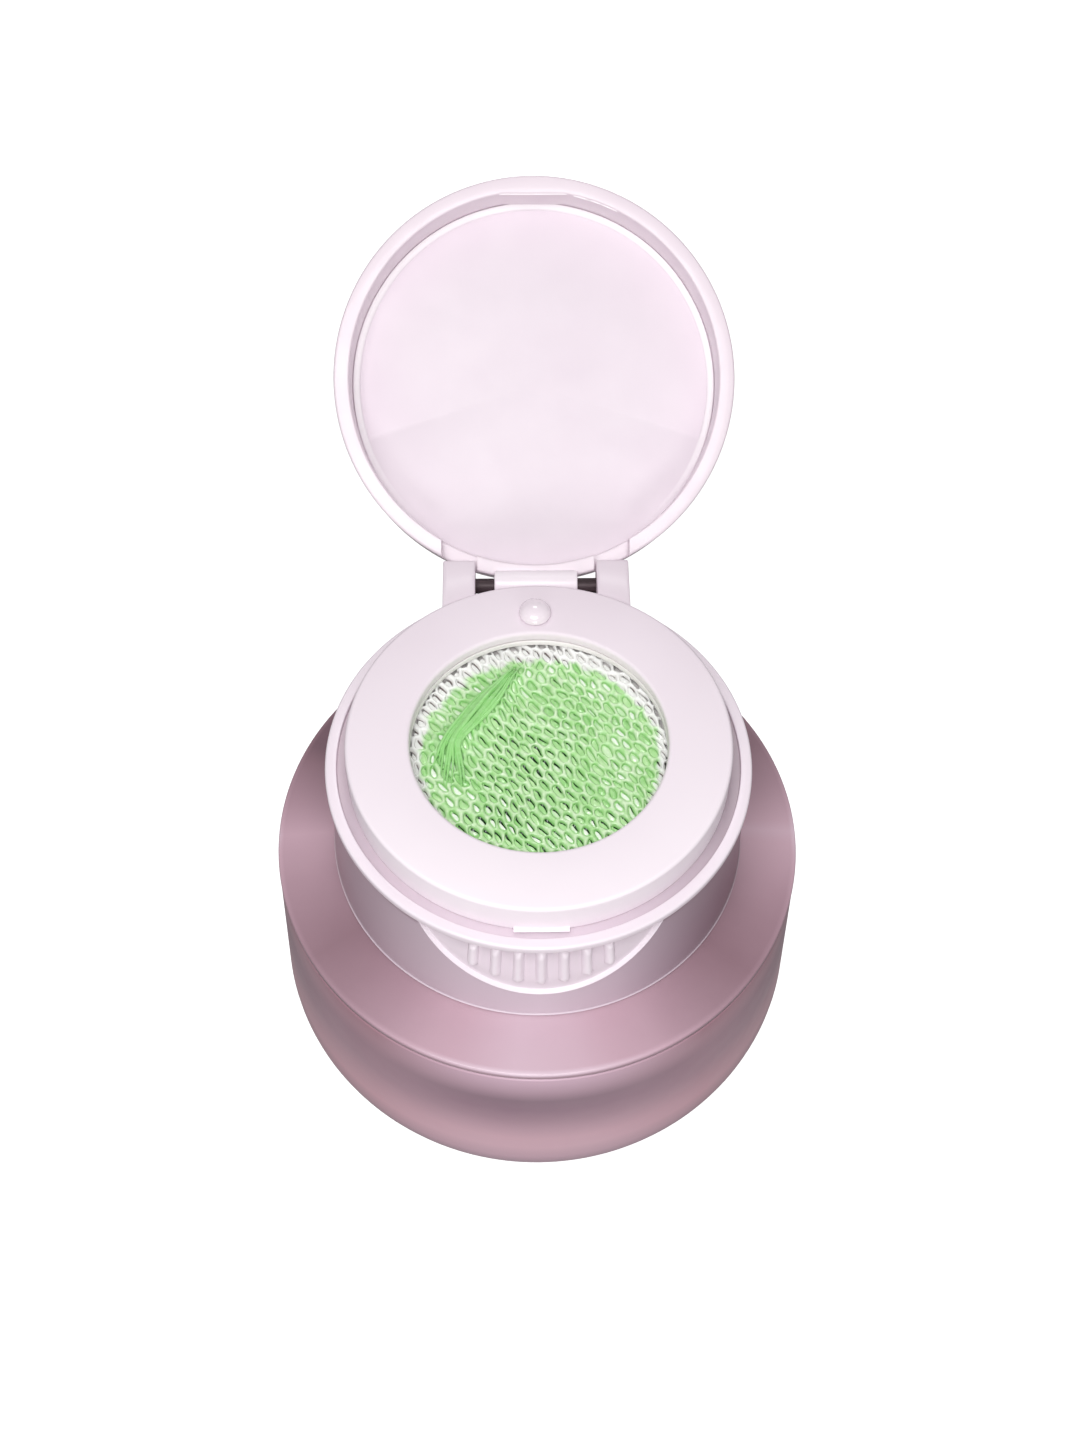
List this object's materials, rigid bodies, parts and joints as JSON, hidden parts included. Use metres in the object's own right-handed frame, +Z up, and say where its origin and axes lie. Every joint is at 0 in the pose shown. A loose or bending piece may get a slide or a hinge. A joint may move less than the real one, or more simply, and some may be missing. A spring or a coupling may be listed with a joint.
{
  "type": "flip-top net jar",
  "caption": "Round frosted jar with a screw cap; a net across the cap's opening lets paste through, and a round hinged lid flips over it.",
  "frame": {"origin": "middle of the jar's flat underside, where it stands", "axes": "+Z up along the jar's axis, +Y towards the hinge at the back, +X to the right seen from the thumb recess; the lid is open at rest"},
  "size_m": [0.0746, 0.1162, 0.0919],
  "materials": {
    "frosted_body": "frosted translucent, dusty mauve",
    "cup_plastic": "satin, off-white",
    "cream": "moist green paste",
    "liner_foam": "white foamed liner",
    "inner_plastic": "satin, ivory",
    "cap_plastic": "satin, pale pink-white, slightly translucent",
    "bumper_plastic": "glossy pale pink",
    "net_fibre": "knitted white nylon net coated with green paste",
    "pin_steel": "dark steel",
    "liner_plastic": "satin, pale pink-white"
  },
  "bodies": {
    "jar": {"outer_jar": "frosted_body", "jar_shoulder": "frosted_body", "inner_cup": "cup_plastic", "cream_fill": "cream"},
    "liner": {"sealing_liner": "liner_foam"},
    "cap": {"inner_cap": "inner_plastic", "cap_shell": "cap_plastic", "top_ring": "cap_plastic", "stop_bumper": "bumper_plastic", "net_frame": "inner_plastic", "net": "net_fibre", "net_clamp_ring": "inner_plastic", "hinge_pin": "pin_steel"},
    "lid": {"lid_shell": "cap_plastic", "lid_liner": "liner_plastic"}
  },
  "joints": [
    {"name": "cap_lift", "type": "slide", "parent": "jar", "child": "liner", "axis": [0, 0, 1], "range_m": [0, 0.004]},
    {"name": "cap_turn", "type": "hinge", "parent": "liner", "child": "cap", "pos_m": [0, 0, 0.0575], "axis": [0, 0, 1], "range_deg": [0, 360]},
    {"name": "lid_hinge", "type": "hinge", "parent": "cap", "child": "lid", "pos_m": [0, 0.0285, 0.0591], "axis": [1, 0, 0], "range_deg": [0, 144]}
  ],
  "couplings": [
    {"joint": "cap_lift", "follows": "cap_turn", "m_per_rad": 0.000636}
  ]
}
